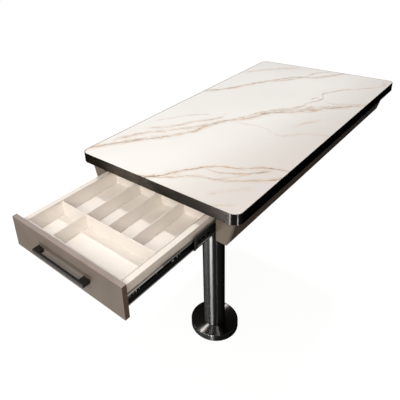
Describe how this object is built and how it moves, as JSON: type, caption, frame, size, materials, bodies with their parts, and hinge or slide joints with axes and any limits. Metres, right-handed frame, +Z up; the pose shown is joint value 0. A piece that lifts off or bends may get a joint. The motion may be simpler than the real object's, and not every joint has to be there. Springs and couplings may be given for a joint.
{
  "type": "restaurant table with drawer",
  "caption": "Narrow stone-topped dining table with a slanted dark apron, a cutlery drawer in its end and one round floor-bolted leg.",
  "frame": {"origin": "on the leg's axis at floor level, at the centre of the floor bolt circle", "axes": "+X across the table, +Y along the table away from the drawer, +Z up"},
  "size_m": [0.55, 1.391, 0.76],
  "materials": {
    "stone": "polished",
    "core_board": "raw board",
    "band_metal": "satin black",
    "apron_laminate": "matt laminate",
    "inner_board": "raw board",
    "bracket_steel": "zinc plated",
    "screw_steel": "zinc plated",
    "plate_steel": "matt black",
    "leg_steel": "black mirror",
    "slide_steel": "black zinc",
    "cage_steel": "plain",
    "front_laminate": "matt laminate",
    "box_board": "satin white laminate",
    "tray_plastic": "satin",
    "handle_metal": "matt black"
  },
  "bodies": {
    "table": {"stone_top": "stone", "top_core": "core_board", "edge_band_near": "band_metal", "edge_band_far": "band_metal", "edge_band_left": "band_metal", "edge_band_right": "band_metal", "apron_side_left": "apron_laminate", "apron_side_right": "apron_laminate", "end_stile_left": "apron_laminate", "end_stile_right": "apron_laminate", "apron_end_far": "apron_laminate", "wall_batten": "inner_board", "bay_cheek_left": "inner_board", "bay_cheek_right": "inner_board", "bay_cross_rear": "inner_board", "middle_cross": "inner_board", "leg_rail": "inner_board", "angle_brackets": "bracket_steel", "angle_screws": "screw_steel", "leg_head_plate": "plate_steel", "leg_head_screws": "screw_steel", "leg_tube": "leg_steel", "floor_plate": "plate_steel", "floor_cover": "leg_steel", "slide_cabinet_left": "slide_steel", "slide_cabinet_right": "slide_steel", "slide_cabinet_screws": "screw_steel"},
    "drawer": {"drawer_front": "front_laminate", "drawer_subfront": "box_board", "drawer_side_left": "box_board", "drawer_side_right": "box_board", "drawer_back": "box_board", "drawer_bottom": "box_board", "front_screws": "screw_steel", "handle_bar": "handle_metal", "handle_posts": "handle_metal", "handle_screws": "screw_steel", "tray_shell": "tray_plastic", "tray_cross_divider": "tray_plastic", "tray_front_divider": "tray_plastic", "tray_back_dividers": "tray_plastic", "tray_screw": "screw_steel", "tray_spacer": "box_board", "slide_member_left": "slide_steel", "slide_member_right": "slide_steel", "slide_member_screws": "screw_steel"},
    "slide_middle_left_body": {"slide_middle_left": "slide_steel"},
    "outer_cage_left_body": {"outer_cage_left": "cage_steel"},
    "inner_cage_left_body": {"inner_cage_left": "cage_steel"},
    "slide_middle_right_body": {"slide_middle_right": "slide_steel"},
    "outer_cage_right_body": {"outer_cage_right": "cage_steel"},
    "inner_cage_right_body": {"inner_cage_right": "cage_steel"}
  },
  "joints": [
    {"name": "drawer_slide", "type": "slide", "parent": "table", "child": "drawer", "axis": [0, -1, 0], "range_m": [-0.315, 0.035]},
    {"name": "slide_middle_left_slide", "type": "slide", "parent": "table", "child": "slide_middle_left_body", "axis": [0, -1, 0], "range_m": [-0.09815, 0.01135]},
    {"name": "outer_cage_left_slide", "type": "slide", "parent": "table", "child": "outer_cage_left_body", "axis": [0, -1, 0], "range_m": [-0.04933, 0.00592]},
    {"name": "inner_cage_left_slide", "type": "slide", "parent": "table", "child": "inner_cage_left_body", "axis": [0, -1, 0], "range_m": [-0.20683, 0.02343]},
    {"name": "slide_middle_right_slide", "type": "slide", "parent": "table", "child": "slide_middle_right_body", "axis": [0, -1, 0], "range_m": [-0.09815, 0.01135]},
    {"name": "outer_cage_right_slide", "type": "slide", "parent": "table", "child": "outer_cage_right_body", "axis": [0, -1, 0], "range_m": [-0.04933, 0.00592]},
    {"name": "inner_cage_right_slide", "type": "slide", "parent": "table", "child": "inner_cage_right_body", "axis": [0, -1, 0], "range_m": [-0.20683, 0.02343]}
  ],
  "couplings": [
    {"joint": "slide_middle_left_slide", "follows": "drawer_slide", "ratio": 0.31},
    {"joint": "outer_cage_left_slide", "follows": "drawer_slide", "ratio": 0.155},
    {"joint": "inner_cage_left_slide", "follows": "drawer_slide", "ratio": 0.655},
    {"joint": "slide_middle_right_slide", "follows": "drawer_slide", "ratio": 0.31},
    {"joint": "outer_cage_right_slide", "follows": "drawer_slide", "ratio": 0.155},
    {"joint": "inner_cage_right_slide", "follows": "drawer_slide", "ratio": 0.655}
  ]
}
